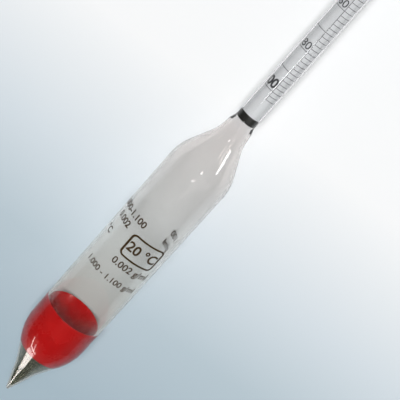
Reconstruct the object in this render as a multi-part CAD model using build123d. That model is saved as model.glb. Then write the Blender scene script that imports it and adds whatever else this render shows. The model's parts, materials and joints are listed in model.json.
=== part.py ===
"""A glass hydrometer with shot ballast and a paper density scale in its stem.

Lengths are in millimetres. The pieces are turned about the X axis, with the nose tip at
x = 0, and are laid on their bulb at the end. Angles go round the axis from the top (+Z),
and are positive towards -Y.
"""
from build123d import *
import math
import os

# Outside of the blown glass, from the nose tip to the stem
bulb_radius = 9.5
stem_radius = 3.175
tip_radius = 0.6
point_length = 9.8
point_radius = 3.72
flare_length = 11.3
bulb_length = 70.1
shoulder_length = 11.0
neck_radius = 4.4
neck_length = 4.4
root_radius = 3.8
root_length = 1.8

# Blends between the straight stretches of the glass
point_blend = 20.0
flare_blend = 18.0
shoulder_blend = 15.0
neck_blend = 12.0
root_blend = 3.0

# Thickness of the glass
bulb_wall = 0.8
point_wall = 0.5
neck_wall = 0.7
stem_wall = 0.3
tip_glass = 1.2
dome_glass = 1.0

# Ballast in the nose
shot_level = 16.7
wax_level = 32.8
meniscus_depth = 5.0
wax_lip = 0.25
fill_clearance = 0.03
layer_gap = 0.02

# Black ring at the foot of the stem
ring_offset = 0.2
ring_length = 2.4
ring_thickness = 0.5
ring_clearance = 0.03

# Rolled paper slip
paper_thickness = 0.12
paper_clearance = 0.06
roll_gap = 0.02
roll_overlap = 50.0
roll_step = 12.0
paper_seat = 0.02
paper_margin = 4.0
headroom = 14.0

# Printed scale, in grams per millilitre
heaviest = 1.100
lightest = 1.000
division = 0.002
spare_divisions = 2
divisions_to_long_line = 5
heaviest_line_offset = 11.8

# Printed lines on the paper
line_width = 0.2
line_gap = 0.02
ink_thickness = 0.04
ink_gap = 0.01
rule_angle = 4.0
short_line_end = 84.0
long_line_start = -136.0

# Enamelled frame on the bulb
frame_start = 59.5
frame_length = 7.6
frame_width = 10.8
frame_line = 0.55
frame_corner = 1.4
frame_angle = 22.0
enamel_thickness = 0.03
enamel_gap = 0.01

# Places along the axis that follow from the lengths
point_end = point_length
bulb_start = point_end + flare_length
bulb_end = bulb_start + bulb_length
neck_start = bulb_end + shoulder_length
root_start = neck_start + neck_length
stem_start = root_start + root_length
ring_start = stem_start + ring_offset
ring_end = ring_start + ring_length
heaviest_line = stem_start + heaviest_line_offset
bore_radius = stem_radius - stem_wall
roll_radius = bore_radius - ink_thickness - paper_clearance


def blown_form(tip, tip_round, corners, blends, dome_end):
    """Solid of revolution with a round tip, blended corners and a domed end."""
    first_length, first_radius = corners[0]
    centre = tip + tip_round
    reach = math.hypot(first_length - centre, first_radius)
    slope = math.atan2(first_radius, first_length - centre)
    tangency = math.degrees(slope + math.acos(tip_round / reach))
    dome_radius = corners[-1][1]

    nose = CenterArc((centre, 0), tip_round, 180, tangency - 180)
    dome = CenterArc((dome_end - dome_radius, 0), dome_radius, 90, -90)
    side = FilletPolyline(nose @ 1, *corners, dome @ 0, radius=blends)
    axis = Line(dome @ 1, nose @ 0)
    return revolve(make_face([nose, side, dome, axis]), Axis.X)


def outer_form(end):
    """The glass as a full solid, up to a domed end."""
    corners = [
        (point_end, point_radius),
        (bulb_start, bulb_radius),
        (bulb_end, bulb_radius),
        (neck_start, neck_radius),
        (root_start, root_radius),
        (stem_start, stem_radius),
    ]
    blends = [point_blend, flare_blend, shoulder_blend, neck_blend, root_blend, root_blend]
    return blown_form(0, tip_radius, corners, blends, end)


def inner_form(end, clearance=0.0):
    """The hollow of the glass, or what fits in it with a clearance."""
    corners = [
        (point_end, point_radius - point_wall - clearance),
        (bulb_start, bulb_radius - bulb_wall - clearance),
        (bulb_end, bulb_radius - bulb_wall - clearance),
        (neck_start, neck_radius - neck_wall - clearance),
        (stem_start, bore_radius - clearance),
    ]
    blends = [point_blend, flare_blend - bulb_wall, shoulder_blend - bulb_wall, neck_blend, neck_blend]
    return blown_form(tip_glass + clearance, tip_radius, corners, blends, end - dome_glass - clearance)


def slab(low, high):
    """A block wider than the glass between two places along the axis."""
    span = 4 * bulb_radius
    return Pos((low + high) / 2, 0, 0) * Box(high - low, span, span)


def tube(low, high, outer, inner):
    """A ring about the axis."""
    wall = revolve(Pos((low + high) / 2, (outer + inner) / 2) * Rectangle(high - low, outer - inner), Axis.X)
    return wall


def float_length():
    """Length of stem that would hold the volume displaced at the heaviest line."""
    stub = outer_form(heaviest_line + stem_radius).volume - 2 / 3 * math.pi * stem_radius**3
    return stub / (math.pi * stem_radius**2)


def line_place(density, reach):
    """Where the stem is cut by a liquid of this density, by the law of flotation."""
    return heaviest_line + reach * (heaviest / density - 1)


def scale_lines():
    """Density of each printed line, from the foot of the stem upwards, and whether it is long."""
    steps = round((heaviest - lightest) / division)
    lines = []
    for step in range(-spare_divisions, steps + spare_divisions + 1):
        lines.append((heaviest - step * division, step % divisions_to_long_line == 0))
    return lines


def arc_about_axis(radius, start, end):
    """An arc across the axis, between two angles from the top."""
    return CenterArc((0, 0), radius, 90 + start, end - start)


def arc_strip(radius, thickness, start, end, length):
    """A strip bent round the axis, outwards from a radius, and as long as it is printed."""
    outside = arc_about_axis(radius + thickness, start, end)
    inside = arc_about_axis(radius, start, end)
    ends = [Line(outside @ 0, inside @ 0), Line(outside @ 1, inside @ 1)]
    return extrude(Plane.YZ * make_face([outside, inside, *ends]), length)


def glass_envelope(end):
    """Bulb, neck and stem: one blown piece, sealed at both ends."""
    return outer_form(end) - inner_form(end)


def ballast_shot(end):
    """The packed charge of fine shot in the point of the nose."""
    return inner_form(end, fill_clearance) & slab(0, shot_level)


def sealing_wax(end):
    """The plug poured on the shot, with the hollow surface that it sets to."""
    plug = inner_form(end, fill_clearance) & slab(shot_level + layer_gap, wax_level)
    rim = bulb_radius - bulb_wall - fill_clearance - wax_lip
    hollow_radius = (rim**2 + meniscus_depth**2) / (2 * meniscus_depth)
    return plug - Pos(wax_level + hollow_radius - meniscus_depth, 0, 0) * Sphere(hollow_radius)


def scale_ring():
    """The black ring in the bore that the paper stands on."""
    outer = bore_radius - ring_clearance
    return tube(ring_start, ring_end, outer, outer - ring_thickness)


def roll_side(radius):
    """One side of the rolled slip: a turn that hugs the bore, then its end tucked inside the lap."""
    free_end = 180 + roll_overlap / 2
    tuck = arc_about_axis(radius - paper_thickness - roll_gap, -free_end, roll_overlap - free_end)
    turn = arc_about_axis(radius, roll_overlap - free_end + roll_step, free_end)
    return [tuck, Line(tuck @ 1, turn @ 0), turn]


def paper_scale(paper_start, paper_end):
    """The slip rolled into a tube, with its ends lapped at the back."""
    outside = roll_side(roll_radius)
    inside = roll_side(roll_radius - paper_thickness)
    edges = [Line(outside[0] @ 0, inside[0] @ 0), Line(outside[-1] @ 1, inside[-1] @ 1)]
    section = make_face([*outside, *inside, *edges])
    return Pos(paper_start, 0, 0) * extrude(Plane.YZ * section, paper_end - paper_start)


def ink_strip(start, end, length):
    """A printed field on the roll, between two angles."""
    return arc_strip(roll_radius + ink_gap, ink_thickness, start, end, length)


def scale_graduations(reach):
    """The lines across the scale, spaced by density, and the two upright rules that bound its numbers."""
    radius = roll_radius + ink_gap
    rule_turn = math.degrees(line_width / radius)
    gap_turn = math.degrees(line_gap / radius)
    short = ink_strip(rule_angle + rule_turn + gap_turn, short_line_end, line_width)
    across_numbers = ink_strip(long_line_start, rule_angle - gap_turn, line_width)
    marks = []
    for density, is_long in scale_lines():
        place = Pos(line_place(density, reach) - line_width / 2, 0, 0)
        marks.append(place * short)
        if is_long:
            marks.append(place * across_numbers)

    lines = [line_place(density, reach) for density, _ in scale_lines()]
    long_lines = [line_place(density, reach) for density, is_long in scale_lines() if is_long]
    left_rule = long_line_start - gap_turn - rule_turn
    for angle, places in ((rule_angle, lines), (left_rule, long_lines)):
        low = min(places) - line_width / 2
        high = max(places) + line_width / 2
        marks.append(Pos(low, 0, 0) * ink_strip(angle, angle + rule_turn, high - low))
    return Compound(children=marks)


def bulb_frame():
    """The enamelled frame on the bulb: a rounded border bent round the glass."""
    middle = frame_start + frame_length / 2
    skin = tube(
        frame_start - frame_length,
        frame_start + 2 * frame_length,
        bulb_radius + enamel_gap + enamel_thickness,
        bulb_radius + enamel_gap,
    )
    outside = RectangleRounded(frame_length, frame_width, frame_corner)
    inside = RectangleRounded(
        frame_length - 2 * frame_line, frame_width - 2 * frame_line, frame_corner - frame_line
    )
    border = Pos(middle, 0, 0) * extrude(outside - inside, 2 * bulb_radius)
    return Rot(frame_angle, 0, 0) * border & skin


def main():
    """Builds every piece, lays the whole on its bulb and writes one file per piece."""
    reach = float_length()
    highest_line = line_place(lightest - spare_divisions * division, reach)
    paper_start = ring_end + paper_seat
    paper_end = highest_line + paper_margin
    end = paper_end + headroom
    pieces = {
        "glass_envelope": glass_envelope(end),
        "ballast_shot": ballast_shot(end),
        "sealing_wax": sealing_wax(end),
        "scale_ring": scale_ring(),
        "paper_scale": paper_scale(paper_start, paper_end),
        "scale_graduations": scale_graduations(reach),
        "bulb_frame": bulb_frame(),
    }
    os.makedirs("parts", exist_ok=True)
    for name, piece in pieces.items():
        laid = Pos(-end / 2, 0, bulb_radius) * piece
        export_step(laid, f"parts/{name}.step")
    print("length", round(end, 2), "float length", round(reach, 2))


main()
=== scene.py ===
import json
import math

import bpy
from mathutils import Matrix, Quaternion, Vector

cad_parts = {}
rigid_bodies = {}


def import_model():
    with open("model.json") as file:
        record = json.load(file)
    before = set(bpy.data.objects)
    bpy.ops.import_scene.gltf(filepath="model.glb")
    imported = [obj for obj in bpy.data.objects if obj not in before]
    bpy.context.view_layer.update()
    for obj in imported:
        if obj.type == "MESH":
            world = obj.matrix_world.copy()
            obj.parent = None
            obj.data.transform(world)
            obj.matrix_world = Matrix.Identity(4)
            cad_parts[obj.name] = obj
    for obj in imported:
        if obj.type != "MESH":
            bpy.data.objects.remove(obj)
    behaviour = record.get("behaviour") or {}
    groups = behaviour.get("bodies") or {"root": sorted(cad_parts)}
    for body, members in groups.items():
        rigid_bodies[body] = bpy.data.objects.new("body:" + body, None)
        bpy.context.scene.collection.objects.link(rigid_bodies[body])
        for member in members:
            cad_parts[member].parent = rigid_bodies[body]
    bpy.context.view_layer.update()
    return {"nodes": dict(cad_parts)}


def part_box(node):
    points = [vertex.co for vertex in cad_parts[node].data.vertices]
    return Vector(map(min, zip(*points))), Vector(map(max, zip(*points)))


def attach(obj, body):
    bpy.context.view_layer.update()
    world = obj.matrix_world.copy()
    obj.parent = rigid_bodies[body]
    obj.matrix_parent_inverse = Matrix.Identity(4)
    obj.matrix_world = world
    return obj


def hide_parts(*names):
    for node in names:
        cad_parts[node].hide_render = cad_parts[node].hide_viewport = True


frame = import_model()

MM = 0.001

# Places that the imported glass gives: the nose tip, the stem's end and the axis
glass_low, glass_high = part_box("glass_envelope")
TIP = glass_low.x
GLASS_LENGTH = glass_high.x - glass_low.x
BULB_RADIUS = 9.5 * MM
AXIS_HEIGHT = (glass_low.z + glass_high.z) / 2

# Outside of the glass: distance from the tip, radius, and blend of each corner
TIP_ROUND = 0.6 * MM
OUTER_CORNERS = [
    (9.8 * MM, 3.72 * MM, 20 * MM),
    (21.1 * MM, BULB_RADIUS, 18 * MM),
    (91.2 * MM, BULB_RADIUS, 15 * MM),
    (102.2 * MM, 4.4 * MM, 12 * MM),
    (106.6 * MM, 3.8 * MM, 3 * MM),
    (108.4 * MM, 3.175 * MM, 3 * MM),
]

# Hollow of the glass
TIP_GLASS = 1.2 * MM
DOME_GLASS = 1.0 * MM
BORE_RADIUS = 2.875 * MM
INNER_CORNERS = [
    (9.8 * MM, 3.22 * MM, 20 * MM),
    (21.1 * MM, 8.7 * MM, 17.2 * MM),
    (91.2 * MM, 8.7 * MM, 14.2 * MM),
    (102.2 * MM, 3.7 * MM, 12 * MM),
    (108.4 * MM, BORE_RADIUS, 12 * MM),
]

# Ballast: a pile of shot, and the wax poured on it, which bites into the glass
SHOT_LEVEL = 16.7 * MM
SHOT_RADIUS = 0.29 * MM
SHOT_GAP = 0.09 * MM
SHOT_PITCH = 0.5 * MM
SHOT_SPACING = 0.56 * MM
SHOT_SHAKE = 0.1 * MM
SHOT_SQUASH = (1.0, 0.94, 0.97)
SHOT_CORE_DEPTH = SHOT_GAP + 1.3 * SHOT_RADIUS
SHOT_CORE_STEPS = 48
WAX_LEVEL = 32.8 * MM
WAX_HOLLOW_DEPTH = 5.0 * MM
WAX_LIP_ROUND = 0.14 * MM
WAX_LIP_TURN = -math.radians(150)
WAX_BITE = 0.01 * MM
WAX_STEP = 0.8 * MM
LAYER_GAP = 0.02 * MM

# Black ring, tight in the foot of the stem
RING_START = 108.6 * MM
RING_LENGTH = 2.4 * MM
RING_OUTER = 2.885 * MM
RING_INNER = 2.345 * MM
RING_EDGE = 0.16 * MM
RING_STEP = 0.4 * MM
RING_TURN_STEPS = 96

# Printed scale: the lines stand where a liquid of each density cuts the stem
HEAVIEST = 1.100
HEAVIEST_LINE = 120.2 * MM
FLOAT_LENGTH = 757.28 * MM
PAPER_INK_RADIUS = 2.787 * MM
PAPER_INK_DEPTH = 0.036 * MM
NUMBER_ANGLE = math.radians(1.5)

# Print on the bulb
BULB_INK_RADIUS = 9.508 * MM
BULB_INK_DEPTH = 0.028 * MM

# Height of a capital over the font's size, and the widest stretch of a word that stays flat
CAPITAL_SHARE = 0.7
FLAT_WORD_TURN = math.radians(5)

# Share of the light that one face of the glass keeps back
GLASS_SHADE = 0.02

# Painted shade in the glass's tint at distances from the tip, not a colour of the glass itself: warm at the
# nose, darker and greyer towards the shoulder and neck, paler at the stem, so that the bulb keeps about one
# tone over the floor behind it
PAINTED_SHADE_TINTS = [
    (38 * MM, (0.96, 0.81, 0.70)),
    (56 * MM, (1.00, 0.92, 0.84)),
    (80 * MM, (0.77, 0.72, 0.68)),
    (105 * MM, (0.74, 0.695, 0.675)),
    (111 * MM, (0.82, 0.82, 0.83)),
]

# Smoothness of turned pieces, and how near two points are welded
TURN_STEPS = 160
BLEND_STEP = math.radians(2.5)
RUN_STEP = 2.5 * MM
TIP_STEP = math.radians(10)
DOME_STEP = math.radians(6)
BOWL_STEP = math.radians(4)
LIP_STEP = math.radians(15)
RING_EDGE_STEP = math.radians(22.5)
WELD = 0.002 * MM


def leave_edit_and_deselect():
    """Object mode with nothing selected, so that the next operator meets only its own piece."""
    if bpy.context.object and bpy.context.object.mode != "OBJECT":
        bpy.ops.object.mode_set(mode="OBJECT")
    bpy.ops.object.select_all(action="DESELECT")


def select_only(*pieces):
    """Selects these pieces and makes the first of them active."""
    leave_edit_and_deselect()
    for piece in pieces:
        piece.select_set(True)
    bpy.context.view_layer.objects.active = pieces[0]


def settle(piece, name):
    """Names a finished piece and puts its place into its mesh."""
    select_only(piece)
    bpy.ops.object.transform_apply(location=True, rotation=True, scale=True)
    piece.name = name
    piece.data.name = name
    return piece


def joined(name, *pieces):
    """Joins pieces into one."""
    select_only(*pieces)
    bpy.ops.object.join()
    return settle(pieces[0], name)


# Outlines: points of distance from the tip and radius

def arc_points(centre, radius, start, turn, step=BLEND_STEP):
    """Points along an arc, its two ends included."""
    count = max(2, math.ceil(abs(turn) / step))
    angles = [start + turn * i / count for i in range(count + 1)]
    return [(centre[0] + radius * math.cos(a), centre[1] + radius * math.sin(a)) for a in angles]


def blend_points(before, corner, after, radius):
    """The arc that rounds a corner between two straight stretches."""
    here = Vector(corner)
    back = (Vector(before) - here).normalized()
    ahead = (Vector(after) - here).normalized()
    half = back.angle(ahead) / 2
    centre = here + (back + ahead).normalized() * radius / math.sin(half)
    first = here + back * radius / math.tan(half) - centre
    last = here + ahead * radius / math.tan(half) - centre
    start = math.atan2(first.y, first.x)
    turn = math.atan2(last.y, last.x) - start
    turn = (turn + math.pi) % (2 * math.pi) - math.pi
    return arc_points(centre, radius, start, turn)


def with_runs(points, longest=RUN_STEP):
    """Divides long straight stretches, so that smooth shading stays true along them."""
    divided = [points[0]]
    for low, high in zip(points, points[1:]):
        parts = max(1, math.ceil(math.dist(low, high) / longest))
        for i in range(1, parts + 1):
            divided.append(tuple(Vector(low).lerp(Vector(high), i / parts)))
    return divided


def blown_outline(tip, corners, end):
    """Outline of a blown form: round tip, blended corners and a domed end."""
    (first_place, first_radius, _), last_radius = corners[0], corners[-1][1]
    centre = tip + TIP_ROUND
    reach = math.hypot(first_place - centre, first_radius)
    tangency = math.atan2(first_radius, first_place - centre) + math.acos(TIP_ROUND / reach)
    nose = arc_points((centre, 0), TIP_ROUND, math.pi, tangency - math.pi, TIP_STEP)
    dome = arc_points((end - last_radius, 0), last_radius, math.pi / 2, -math.pi / 2, DOME_STEP)
    places = [nose[-1], *[(place, radius) for place, radius, _ in corners], dome[0]]
    side = []
    for before, corner, after, (_, _, blend) in zip(places, places[1:], places[2:], corners):
        side += blend_points(before, corner, after, blend)
    return with_runs([*nose, *side, *dome])


def inset_line(line, depth):
    """The outline moved into the hollow by a depth, square to itself."""
    moved = []
    for before, here, after in zip(line, line[1:], line[2:]):
        along = (Vector(after) - Vector(before)).normalized()
        moved.append((here[0] + along.y * depth, here[1] - along.x * depth))
    return moved


def radius_at(line, place):
    """Radius of an outline at a distance from the tip."""
    for (low, low_radius), (high, high_radius) in zip(line, line[1:]):
        if low <= place <= high and high > low:
            return low_radius + (high_radius - low_radius) * (place - low) / (high - low)
    return 0.0


def stretch(line, low, high):
    """The part of an outline between two distances from the tip."""
    middle = [point for point in line if low < point[0] < high]
    return [(low, radius_at(line, low)), *middle, (high, radius_at(line, high))]


def evenly_spaced(line, pitch):
    """Points that follow one another along an outline at one pitch."""
    spaced, left = [], 0.0
    for low, high in zip(line, line[1:]):
        length = math.dist(low, high)
        while left <= length:
            spaced.append(tuple(Vector(low).lerp(Vector(high), left / length)))
            left += pitch
        left -= length
    return spaced


# Turned pieces

def turned(name, outline, closed=False, steps=TURN_STEPS):
    """Extrudes one point along an outline, and spins the line about the glass's axis."""
    leave_edit_and_deselect()
    first, *others = [*outline, outline[0]] if closed else outline
    bpy.ops.mesh.primitive_plane_add(size=MM, location=(TIP + first[0], 0, AXIS_HEIGHT + first[1]))
    piece = bpy.context.object
    bpy.ops.object.mode_set(mode="EDIT")
    bpy.ops.mesh.select_all(action="SELECT")
    bpy.ops.mesh.merge(type="CENTER")
    here = first
    for point in others:
        step = (point[0] - here[0], 0, point[1] - here[1])
        bpy.ops.mesh.extrude_region_move(TRANSFORM_OT_translate={"value": step})
        here = point
    bpy.ops.mesh.select_all(action="SELECT")
    bpy.ops.mesh.spin(steps=steps, angle=2 * math.pi, center=(0, 0, AXIS_HEIGHT), axis=(1, 0, 0))
    bpy.ops.mesh.select_all(action="SELECT")
    bpy.ops.mesh.remove_doubles(threshold=WELD)
    bpy.ops.mesh.normals_make_consistent(inside=False)
    bpy.ops.object.mode_set(mode="OBJECT")
    bpy.ops.object.shade_smooth()
    return settle(piece, name)


def blown_glass(hollow):
    """The envelope: its outside tinted with painted shade, and the hollow inside it with its faces turned
    inwards.
    """
    outside = turned("glass_outside", blown_outline(0, OUTER_CORNERS, GLASS_LENGTH))
    # Painted shade: the outside of the glass gets a tint that darkens it towards the shoulder and neck
    outside.data.materials.append(clear_glass("clear_glass", PAINTED_SHADE_TINTS))
    inside = turned("glass_inside", hollow)
    inside.data.materials.append(clear_glass("clear_glass_hollow"))
    select_only(inside)
    bpy.ops.object.mode_set(mode="EDIT")
    bpy.ops.mesh.select_all(action="SELECT")
    bpy.ops.mesh.flip_normals()
    return joined("blown_glass", outside, inside)


def wax_plug(hollow):
    """The plug poured on the shot: it bites by a hair into the glass that it wets, and its middle sank."""
    wall = inset_line(hollow, -WAX_BITE)
    low = SHOT_LEVEL + LAYER_GAP
    side = stretch(wall, low, WAX_LEVEL - WAX_LIP_ROUND)
    outer = side[-1][1]
    lip_centre = (WAX_LEVEL - WAX_LIP_ROUND, outer - WAX_LIP_ROUND)
    lip = arc_points(lip_centre, WAX_LIP_ROUND, math.pi / 2, WAX_LIP_TURN, LIP_STEP)
    rim_place, rim_radius = lip[-1]
    depth = rim_place - WAX_LEVEL + WAX_HOLLOW_DEPTH
    bowl_radius = (rim_radius**2 + depth**2) / (2 * depth)
    half_turn = math.asin(rim_radius / bowl_radius)
    bowl_centre = (WAX_LEVEL - WAX_HOLLOW_DEPTH + bowl_radius, 0)
    bowl = arc_points(bowl_centre, bowl_radius, math.pi - half_turn, half_turn, BOWL_STEP)
    bottom = [(low, 0), (low, side[0][1] / 2)]
    return turned("red_wax_plug", [*bottom, *with_runs(side, WAX_STEP), *lip[1:], *bowl[1:]])


def shot_pile(hollow):
    """Shot grains against the glass in staggered rows, round a core that stands for the rest."""
    seats = inset_line(hollow, SHOT_RADIUS + SHOT_GAP)
    seats = [seat for seat in evenly_spaced(seats, SHOT_PITCH) if seat[0] < SHOT_LEVEL - SHOT_RADIUS]
    rows = []
    for number, (place, radius) in enumerate(seats):
        count = int(2 * math.pi * radius / SHOT_SPACING)
        if count < 3:
            continue
        leave_edit_and_deselect()
        turn = Matrix.Rotation(math.pi / count * (number % 2), 4, "X") @ Matrix.Rotation(math.pi / 2, 4, "Y")
        bpy.ops.mesh.primitive_circle_add(
            vertices=count, radius=radius, location=(TIP + place, 0, AXIS_HEIGHT), rotation=turn.to_euler()
        )
        rows.append(bpy.context.object)
    carrier = joined("shot_places", *rows)
    bpy.ops.object.mode_set(mode="EDIT")
    bpy.ops.mesh.select_all(action="SELECT")
    bpy.ops.transform.vertex_random(offset=SHOT_SHAKE, seed=7)
    leave_edit_and_deselect()
    bpy.ops.mesh.primitive_uv_sphere_add(segments=8, ring_count=6, radius=SHOT_RADIUS)
    grain = bpy.context.object
    bpy.ops.object.mode_set(mode="EDIT")
    bpy.ops.mesh.select_all(action="SELECT")
    bpy.ops.transform.resize(value=SHOT_SQUASH)
    bpy.ops.object.mode_set(mode="OBJECT")
    bpy.ops.object.shade_smooth()
    grain.parent = carrier
    carrier.instance_type = "VERTS"
    select_only(carrier)
    bpy.ops.object.duplicates_make_real()
    grains = [piece for piece in bpy.context.selected_objects if piece not in (carrier, grain)]
    select_only(carrier, grain)
    bpy.ops.object.delete()
    select_only(*grains)
    bpy.ops.object.make_single_user(object=True, obdata=True)
    core_top = SHOT_LEVEL - SHOT_GAP
    core_side = [
        point for point in inset_line(hollow, SHOT_CORE_DEPTH) if point[1] > 0 and point[0] < core_top
    ]
    core_radius = radius_at(core_side, core_side[-1][0])
    core_line = [(core_side[0][0], 0), *core_side, (core_top, core_radius), (core_top, 0)]
    core = turned("shot_core", core_line, steps=SHOT_CORE_STEPS)
    return joined("shot_pile", *grains, core)


def foot_ring():
    """The black ring, with its edges rounded."""
    low, high = RING_START + RING_EDGE, RING_START + RING_LENGTH - RING_EDGE
    outer, inner = RING_OUTER - RING_EDGE, RING_INNER + RING_EDGE
    outline = []
    for quarter, centre in enumerate(((high, outer), (high, inner), (low, inner), (low, outer))):
        start = (1 - quarter) * math.pi / 2
        outline += arc_points(centre, RING_EDGE, start, -math.pi / 2, RING_EDGE_STEP)
    return turned("foot_ring", with_runs(outline, RING_STEP), closed=True, steps=RING_TURN_STEPS)


# Lettering, wrapped round the glass or the paper

def wrapped_words(words, height, radius, depth, place, angle, align="CENTER", weight=0.0, width=1.0):
    """Words bent round the axis: their feet towards the nose, read from the left with the stem up."""
    leave_edit_and_deselect()
    bpy.ops.object.text_add()
    text = bpy.context.object
    text.data.body = words
    text.data.align_x = align
    text.data.size = height / CAPITAL_SHARE
    text.data.offset = weight * height
    text.data.extrude = depth / 2
    text.data.resolution_u = 5
    bpy.ops.object.convert(target="MESH")
    text = bpy.context.object
    reads_down_z = Matrix(((0, 1, 0, 0), (0, 0, -1, 0), (-1, 0, 0, 0), (0, 0, 0, 1)))
    text.matrix_world = reads_down_z @ Matrix.Scale(width, 4, (1, 0, 0))
    bpy.ops.object.transform_apply(location=True, rotation=True, scale=True)
    ends = [vertex.co.z for vertex in text.data.vertices]
    low, high = min(ends), max(ends)
    cuts = math.ceil((high - low) / (radius * FLAT_WORD_TURN))
    bpy.ops.object.mode_set(mode="EDIT")
    for i in range(1, cuts):
        bpy.ops.mesh.select_all(action="SELECT")
        bpy.ops.mesh.bisect(plane_co=(0, 0, low + (high - low) * i / cuts), plane_no=(0, 0, 1))
    bpy.ops.object.mode_set(mode="OBJECT")
    middle = radius + depth / 2
    bend = text.modifiers.new("wrap", "SIMPLE_DEFORM")
    bend.deform_method = "BEND"
    bend.deform_axis = "X"
    bend.angle = (high - low) / middle
    bpy.ops.object.modifier_apply(modifier=bend.name)
    seat = Matrix.Translation((TIP + place, 0, AXIS_HEIGHT))
    turn = Matrix.Rotation(angle - math.pi / 2, 4, "X")
    text.matrix_world = seat @ turn @ Matrix.Translation((0, -middle, 0))
    return settle(text, "words")


def line_place(density):
    """Where the stem is cut by a liquid of this density, by the law of flotation."""
    return HEAVIEST_LINE + FLOAT_LENGTH * (HEAVIEST / density - 1)


def scale_numbers():
    """The numbers above the long lines: the two ends in full, and two digits between them."""
    numbers = []
    for density, words, height, weight, width, lift in (
        (1.100, "1.100", 2.75 * MM, 0.042, 0.85, 0.7 * MM),
        (1.080, "80", 2.2 * MM, 0.004, 1.0, 0.5 * MM),
        (1.060, "60", 2.2 * MM, 0.004, 1.0, 0.5 * MM),
        (1.040, "40", 2.2 * MM, 0.004, 1.0, 0.5 * MM),
        (1.020, "20", 2.2 * MM, 0.004, 1.0, 0.5 * MM),
        (1.000, "1.000", 2.75 * MM, 0.042, 0.85, 0.7 * MM),
    ):
        numbers.append(wrapped_words(
            words, height, PAPER_INK_RADIUS, PAPER_INK_DEPTH, line_place(density) + lift, NUMBER_ANGLE,
            align="RIGHT", weight=weight, width=width,
        ))
    return joined("scale_numbers", *numbers)


def bulb_print():
    """Enamelled words on the bulb: temperature, unit, smallest division and range."""
    rows = []
    for words, height, place, angle, align, weight in (
        ("20 °C", 2.9 * MM, 61.9 * MM, 22, "CENTER", 0.035),
        ("0.002 g/ml", 2.1 * MM, 56.2 * MM, 26, "CENTER", 0.022),
        ("1.000 - 1.100 g/ml", 1.8 * MM, 51.0 * MM, 5, "CENTER", 0.02),
        ("1.000-1.100", 2.0 * MM, 69.4 * MM, -5, "RIGHT", 0.03),
        ("0.002", 2.0 * MM, 66.0 * MM, -27, "RIGHT", 0.03),
        ("°C", 2.0 * MM, 60.4 * MM, -50, "RIGHT", 0.02),
        ("1.100", 2.0 * MM, 67.2 * MM, 123, "CENTER", 0.02),
        ("g/ml", 2.0 * MM, 63.6 * MM, 129, "CENTER", 0.02),
    ):
        rows.append(wrapped_words(
            words, height, BULB_INK_RADIUS, BULB_INK_DEPTH, place, math.radians(angle),
            align=align, weight=weight,
        ))
    return joined("bulb_print", *rows)


# Finishes

# Where nearly all of a noise texture's values lie
NOISE_RANGE = (0.3, 0.7)


def uneven_colour_group():
    """Shader group: two colours mixed in soft patches with fine grain over them."""
    group = bpy.data.node_groups.new("uneven_colour", "ShaderNodeTree")
    for name, kind in (
        ("Patch Scale", "NodeSocketFloat"),
        ("Grain Scale", "NodeSocketFloat"),
        ("Grain Share", "NodeSocketFloat"),
        ("First Colour", "NodeSocketColor"),
        ("Second Colour", "NodeSocketColor"),
        ("Stretch", "NodeSocketVector"),
    ):
        group.interface.new_socket(name, in_out="INPUT", socket_type=kind)
    group.interface.new_socket("Colour", in_out="OUTPUT", socket_type="NodeSocketColor")
    group.interface.new_socket("Amount", in_out="OUTPUT", socket_type="NodeSocketFloat")
    nodes, links = group.nodes, group.links
    given = nodes.new("NodeGroupInput")
    place = nodes.new("ShaderNodeTexCoord")
    stretched = nodes.new("ShaderNodeVectorMath")
    stretched.operation = "MULTIPLY"
    links.new(place.outputs["Object"], stretched.inputs[0])
    links.new(given.outputs["Stretch"], stretched.inputs[1])
    patches = nodes.new("ShaderNodeTexNoise")
    patches.inputs["Detail"].default_value = 3
    grain = nodes.new("ShaderNodeTexNoise")
    grain.inputs["Detail"].default_value = 2
    for noise, scale in ((patches, "Patch Scale"), (grain, "Grain Scale")):
        links.new(stretched.outputs[0], noise.inputs["Vector"])
        links.new(given.outputs[scale], noise.inputs["Scale"])
    blend = nodes.new("ShaderNodeMix")
    blend.data_type = "FLOAT"
    links.new(given.outputs["Grain Share"], blend.inputs[0])
    links.new(patches.outputs["Fac"], blend.inputs[2])
    links.new(grain.outputs["Fac"], blend.inputs[3])
    spread = nodes.new("ShaderNodeMapRange")
    spread.inputs["From Min"].default_value, spread.inputs["From Max"].default_value = NOISE_RANGE
    links.new(blend.outputs[0], spread.inputs["Value"])
    colour = nodes.new("ShaderNodeMix")
    colour.data_type = "RGBA"
    links.new(spread.outputs[0], colour.inputs["Factor"])
    links.new(given.outputs["First Colour"], colour.inputs["A"])
    links.new(given.outputs["Second Colour"], colour.inputs["B"])
    result = nodes.new("NodeGroupOutput")
    links.new(colour.outputs["Result"], result.inputs["Colour"])
    links.new(spread.outputs[0], result.inputs["Amount"])
    return group


uneven_colour = uneven_colour_group()


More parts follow.
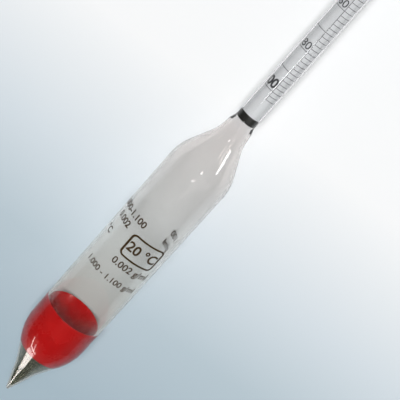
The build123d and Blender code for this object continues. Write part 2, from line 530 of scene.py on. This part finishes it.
def finish(name, first, second, patch=400, grain=6000, grain_share=0.4, stretch_by=(1, 1, 1),
           roughness=(0.4, 0.5), bump=0.0, bump_depth=0.05 * MM, metallic=0.0):
    """A material in two near colours, whose roughness and relief follow the same patches."""
    material = bpy.data.materials.new(name)
    material.use_nodes = True
    tree = material.node_tree
    shader = tree.nodes["Principled BSDF"]
    shader.inputs["Metallic"].default_value = metallic
    uneven = tree.nodes.new("ShaderNodeGroup")
    uneven.node_tree = uneven_colour
    uneven.inputs["Patch Scale"].default_value = patch
    uneven.inputs["Grain Scale"].default_value = grain
    uneven.inputs["Grain Share"].default_value = grain_share
    uneven.inputs["First Colour"].default_value = (*first, 1)
    uneven.inputs["Second Colour"].default_value = (*second, 1)
    uneven.inputs["Stretch"].default_value = stretch_by
    tree.links.new(uneven.outputs["Colour"], shader.inputs["Base Color"])
    rough = tree.nodes.new("ShaderNodeMapRange")
    rough.inputs["To Min"].default_value, rough.inputs["To Max"].default_value = roughness
    tree.links.new(uneven.outputs["Amount"], rough.inputs["Value"])
    tree.links.new(rough.outputs[0], shader.inputs["Roughness"])
    if bump:
        relief = tree.nodes.new("ShaderNodeBump")
        relief.inputs["Strength"].default_value = bump
        relief.inputs["Distance"].default_value = bump_depth
        tree.links.new(uneven.outputs["Amount"], relief.inputs["Height"])
        tree.links.new(relief.outputs[0], shader.inputs["Normal"])
    return material


def ramp(tree, value, stops):
    """A colour ramp over a value, from places and colours."""
    node = tree.nodes.new("ShaderNodeValToRGB")
    edges = node.color_ramp.elements
    while len(edges) < len(stops):
        edges.new(0.5)
    for edge, (place, colour) in zip(edges, stops):
        edge.position = place
        edge.color = (*colour, 1)
    tree.links.new(value, node.inputs["Fac"])
    return node.outputs["Color"]


def clear_glass(name, painted_shade_tints=()):
    """Clear glass that lets the light through, with painted shade: a tint that changes along the piece."""
    material = finish(
        name, (1.0, 1.0, 1.0), (0.985, 0.985, 0.985), patch=120, grain=900, grain_share=0.15,
        stretch_by=(0.25, 1, 1), roughness=(0.02, 0.035), bump=0.012, bump_depth=0.02 * MM,
    )
    tree = material.node_tree
    shader = tree.nodes["Principled BSDF"]
    shader.inputs["IOR"].default_value = 1.5
    shader.inputs["Transmission Weight"].default_value = 1.0
    path = tree.nodes.new("ShaderNodeLightPath")
    solid = tree.nodes.new("ShaderNodeMapRange")
    solid.inputs["To Min"].default_value = 1.0
    solid.inputs["To Max"].default_value = GLASS_SHADE
    tree.links.new(path.outputs["Is Shadow Ray"], solid.inputs["Value"])
    tree.links.new(solid.outputs[0], shader.inputs["Alpha"])
    if painted_shade_tints:
        # Painted shade: a ramp along the glass tints it and darkens it, most towards the shoulder and neck
        place = tree.nodes.new("ShaderNodeTexCoord")
        axes = tree.nodes.new("ShaderNodeSeparateXYZ")
        tree.links.new(place.outputs["Object"], axes.inputs[0])
        reach = tree.nodes.new("ShaderNodeMapRange")
        reach.inputs["From Min"].default_value = TIP
        reach.inputs["From Max"].default_value = TIP + GLASS_LENGTH
        tree.links.new(axes.outputs["X"], reach.inputs["Value"])
        painted_shade = ramp(tree, reach.outputs[0], [(far / GLASS_LENGTH, colour) for far, colour in painted_shade_tints])
        both = tree.nodes.new("ShaderNodeMix")
        both.data_type = "RGBA"
        both.blend_type = "MULTIPLY"
        both.inputs["Factor"].default_value = 1.0
        tree.links.new(shader.inputs["Base Color"].links[0].from_socket, both.inputs["A"])
        tree.links.new(painted_shade, both.inputs["B"])
        tree.links.new(both.outputs["Result"], shader.inputs["Base Color"])
    return material


def dress(node, material):
    """Gives a CAD node its finish."""
    piece = frame["nodes"][node]
    piece.data.materials.clear()
    piece.data.materials.append(material)


def fix_on(piece, slot, *nodes, material=None):
    """Finishes a new piece and fixes it to the part, in place of the nodes that it stands for."""
    if material:
        piece.data.materials.clear()
        piece.data.materials.append(material)
    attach(piece, "root")
    if nodes:
        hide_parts(*nodes)


# Camera: above the stem, turned so that the nose points down and left
VIEW_LEAN = math.radians(19.3)
VIEW_ROLL = math.radians(48.0)
VIEW_DISTANCE = 404.8 * MM
AIM = Vector((TIP + 83.2 * MM, -5.17 * MM, AXIS_HEIGHT))
FRAME_PIXELS = 400
FOCAL_PIXELS = 1480
SENSOR_WIDTH = 36

# The floor's size, and how much paler it gets across the frame and up it
FLOOR_SIZE = 6
PALER_ACROSS = 0.43
PALER_UPWARDS = 0.57

VIEW_BACK = Vector((math.sin(VIEW_LEAN), 0, math.cos(VIEW_LEAN)))
VIEW_ALONG = Vector((math.cos(VIEW_LEAN), 0, -math.sin(VIEW_LEAN)))
VIEW_ACROSS = Vector((0, 1, 0))
VIEW_RIGHT = math.cos(VIEW_ROLL) * VIEW_ALONG - math.sin(VIEW_ROLL) * VIEW_ACROSS
VIEW_UP = math.sin(VIEW_ROLL) * VIEW_ALONG + math.cos(VIEW_ROLL) * VIEW_ACROSS


def place_camera():
    """The camera, as far off as the photograph's perspective asks."""
    leave_edit_and_deselect()
    bpy.ops.object.camera_add()
    camera = bpy.context.object
    camera.name = "camera"
    camera.data.sensor_width = SENSOR_WIDTH
    camera.data.lens = SENSOR_WIDTH * FOCAL_PIXELS / FRAME_PIXELS
    camera.data.clip_start = 0.01
    camera.data.clip_end = 20
    turn = Matrix((VIEW_RIGHT, VIEW_UP, VIEW_BACK)).transposed().to_4x4()
    camera.matrix_world = Matrix.Translation(AIM + VIEW_BACK * VIEW_DISTANCE) @ turn
    bpy.context.scene.camera = camera


def floor_point(right, down):
    """Point of the floor behind a place of the frame, given in pixels from its top left corner."""
    camera = AIM + VIEW_BACK * VIEW_DISTANCE
    ray = (VIEW_RIGHT * (right - FRAME_PIXELS / 2) - VIEW_UP * (down - FRAME_PIXELS / 2)
           - VIEW_BACK * FOCAL_PIXELS)
    return camera - ray * camera.z / ray.z


def lay_floor():
    """A pale floor: light blue at the bottom left of the frame, and white towards the top right."""
    leave_edit_and_deselect()
    bpy.ops.mesh.primitive_plane_add(size=FLOOR_SIZE, location=(0, 0, 0))
    floor = bpy.context.object
    floor.name = "floor"
    material = bpy.data.materials.new("floor_paint")
    material.use_nodes = True
    tree = material.node_tree
    shader = tree.nodes["Principled BSDF"]
    shader.inputs["Roughness"].default_value = 0.9
    shader.inputs["Specular IOR Level"].default_value = 0.0
    corner = floor_point(0, FRAME_PIXELS)
    across = floor_point(FRAME_PIXELS, FRAME_PIXELS) - corner
    upwards = floor_point(0, 0) - corner
    area = across.x * upwards.y - across.y * upwards.x
    slope = Vector((
        PALER_ACROSS * upwards.y - PALER_UPWARDS * across.y,
        PALER_UPWARDS * across.x - PALER_ACROSS * upwards.x,
        0,
    )) / area
    place = tree.nodes.new("ShaderNodeTexCoord")
    way = tree.nodes.new("ShaderNodeVectorMath")
    way.operation = "DOT_PRODUCT"
    way.inputs[1].default_value = slope
    tree.links.new(place.outputs["Object"], way.inputs[0])
    reach = tree.nodes.new("ShaderNodeMath")
    reach.operation = "SUBTRACT"
    reach.use_clamp = True
    reach.inputs[1].default_value = slope.dot(corner)
    tree.links.new(way.outputs["Value"], reach.inputs[0])
    colour = ramp(tree, reach.outputs[0], (
        (0.08, (0.42, 0.53, 0.60)),
        (0.28, (0.51, 0.61, 0.67)),
        (0.44, (0.70, 0.77, 0.82)),
        (0.66, (0.965, 0.975, 0.98)),
    ))
    tree.links.new(colour, shader.inputs["Base Color"])
    floor.data.materials.append(material)


# The way in which the sky's light changes: mostly upwards, a little to one side
SKY_WAY = (0, 0.31, 1)


def hang_sky():
    """Dim daylight, brighter round the horizon and more so on one side, and a plain pale backdrop."""
    world = bpy.data.worlds.new("soft_daylight")
    bpy.context.scene.world = world
    world.use_nodes = True
    tree = world.node_tree
    way = tree.nodes.new("ShaderNodeTexCoord")
    lean = tree.nodes.new("ShaderNodeVectorMath")
    lean.operation = "DOT_PRODUCT"
    lean.inputs[1].default_value = SKY_WAY
    tree.links.new(way.outputs["Generated"], lean.inputs[0])
    colour = ramp(tree, lean.outputs["Value"], (
        (0.08, (0.14, 0.145, 0.15)),
        (0.34, (0.07, 0.07, 0.07)),
        (1.00, (0.04, 0.04, 0.04)),
    ))
    path = tree.nodes.new("ShaderNodeLightPath")
    backdrop = tree.nodes.new("ShaderNodeMix")
    backdrop.data_type = "RGBA"
    backdrop.inputs["B"].default_value = (0.85, 0.88, 0.9, 1)
    tree.links.new(path.outputs["Is Camera Ray"], backdrop.inputs["Factor"])
    tree.links.new(colour, backdrop.inputs["A"])
    tree.links.new(backdrop.outputs["Result"], tree.nodes["Background"].inputs["Color"])
    tree.nodes["Background"].inputs["Strength"].default_value = 1.0


def lamp(name, place, aim, size, radiance, glossy, lean=0.0):
    """A flat lamp that faces a point: a soft lamp lights surfaces, a glossy one only shows as a highlight."""
    leave_edit_and_deselect()
    bpy.ops.object.light_add(type="AREA", location=place)
    light = bpy.context.object
    light.name = name
    light.data.shape = "RECTANGLE"
    light.data.size, light.data.size_y = size
    light.data.energy = radiance * math.pi * size[0] * size[1]
    facing = (Vector(aim) - Vector(place)).to_track_quat("-Z", "Y")
    light.rotation_euler = (facing @ Quaternion((0, 0, 1), math.radians(lean))).to_euler()
    light.visible_camera = False
    light.visible_glossy = glossy
    light.visible_transmission = glossy
    light.visible_diffuse = not glossy


# Lamps that only show as highlights: name, place, aim, size, radiance and lean in degrees
HIGHLIGHTS = (
    ("stem_window", (-0.122, -0.051, 0.613), (0.019, 0, 0.013), (0.13, 0.03), 9.0, 0),
    ("side_panel", (-0.06, -0.39, 0.355), (-0.06, -0.39, 0.0), (0.18, 0.70), 0.45, 0),
    ("shoulder_window", (0.169, -0.313, 0.193), (-0.010, -0.003, 0.015), (0.04, 0.065), 14.0, 0),
    ("spot", (0.077, -0.068, 0.401), (-0.016, 0, 0.019), (0.035, 0.03), 14.0, 0),
    ("nose_window", (-0.385, 0.072, 0.050), (-0.097, 0, 0.014), (0.11, 0.075), 6.0, 0),
    ("nose_band", (-0.377, 0.066, 0.117), (-0.103, 0, 0.012), (0.09, 0.026), 7.0, 0),
    ("nose_slat", (-0.325, 0.149, 0.130), (-0.088, 0, 0.017), (0.12, 0.02), 8.0, -38),
    ("nose_strand", (-0.334, 0.075, 0.140), (-0.088, 0, 0.017), (0.10, 0.012), 6.0, -60),
)
KEY_PLACE = AIM + Vector((0.19, 0, 0.93))
KEY_SIZE = (0.42, 0.42)
KEY_RADIANCE = 16.0


def light_the_set():
    """The sky, the soft key lamp overhead, and the highlights on the glass."""
    hang_sky()
    lamp("key", KEY_PLACE, AIM, KEY_SIZE, KEY_RADIANCE, glossy=False)
    for name, place, aim, size, radiance, lean in HIGHLIGHTS:
        lamp(name, place, aim, size, radiance, glossy=True, lean=lean)


hollow = blown_outline(TIP_GLASS, INNER_CORNERS, GLASS_LENGTH - DOME_GLASS)
fix_on(blown_glass(hollow), "clear_glass", "glass_envelope")
fix_on(shot_pile(hollow), "lead_shot", "ballast_shot", material=finish(
    "lead_shot", (0.02, 0.04, 0.016), (0.33, 0.37, 0.30), patch=1300, grain=4000, grain_share=0.3,
    roughness=(0.3, 0.5), metallic=0.7, bump=0.3))
fix_on(wax_plug(hollow), "red_wax", "sealing_wax", material=finish(
    "red_wax", (0.39, 0.003, 0.004), (0.46, 0.006, 0.007), patch=160, grain=2500, grain_share=0.2,
    roughness=(0.2, 0.35), bump=0.15))
fix_on(foot_ring(), "black_ring", "scale_ring", material=finish(
    "black_ring", (0.012, 0.012, 0.010), (0.03, 0.03, 0.027), patch=900, grain=7000,
    roughness=(0.25, 0.45), bump=0.2))
fix_on(scale_numbers(), "scale_ink", material=finish(
    "number_ink", (0.035, 0.035, 0.04), (0.09, 0.09, 0.095), patch=1800, grain=9000, roughness=(0.5, 0.65)))
enamel = finish(
    "brown_enamel", (0.030, 0.015, 0.002), (0.062, 0.032, 0.006), patch=900, grain=5000,
    roughness=(0.3, 0.5), bump=0.2, bump_depth=0.01 * MM)
fix_on(bulb_print(), "brown_enamel", material=enamel)
dress("paper_scale", finish(
    "scale_paper", (0.655, 0.665, 0.675), (0.705, 0.72, 0.73), patch=350, grain=5200, grain_share=0.55,
    roughness=(0.8, 0.95), bump=0.2, bump_depth=0.02 * MM))
dress("scale_graduations", finish(
    "scale_ink", (0.14, 0.14, 0.15), (0.24, 0.24, 0.25), patch=1500, grain=9000, roughness=(0.5, 0.65)))
dress("bulb_frame", enamel)
place_camera()
lay_floor()
light_the_set()

bpy.context.scene.view_settings.view_transform = "Standard"
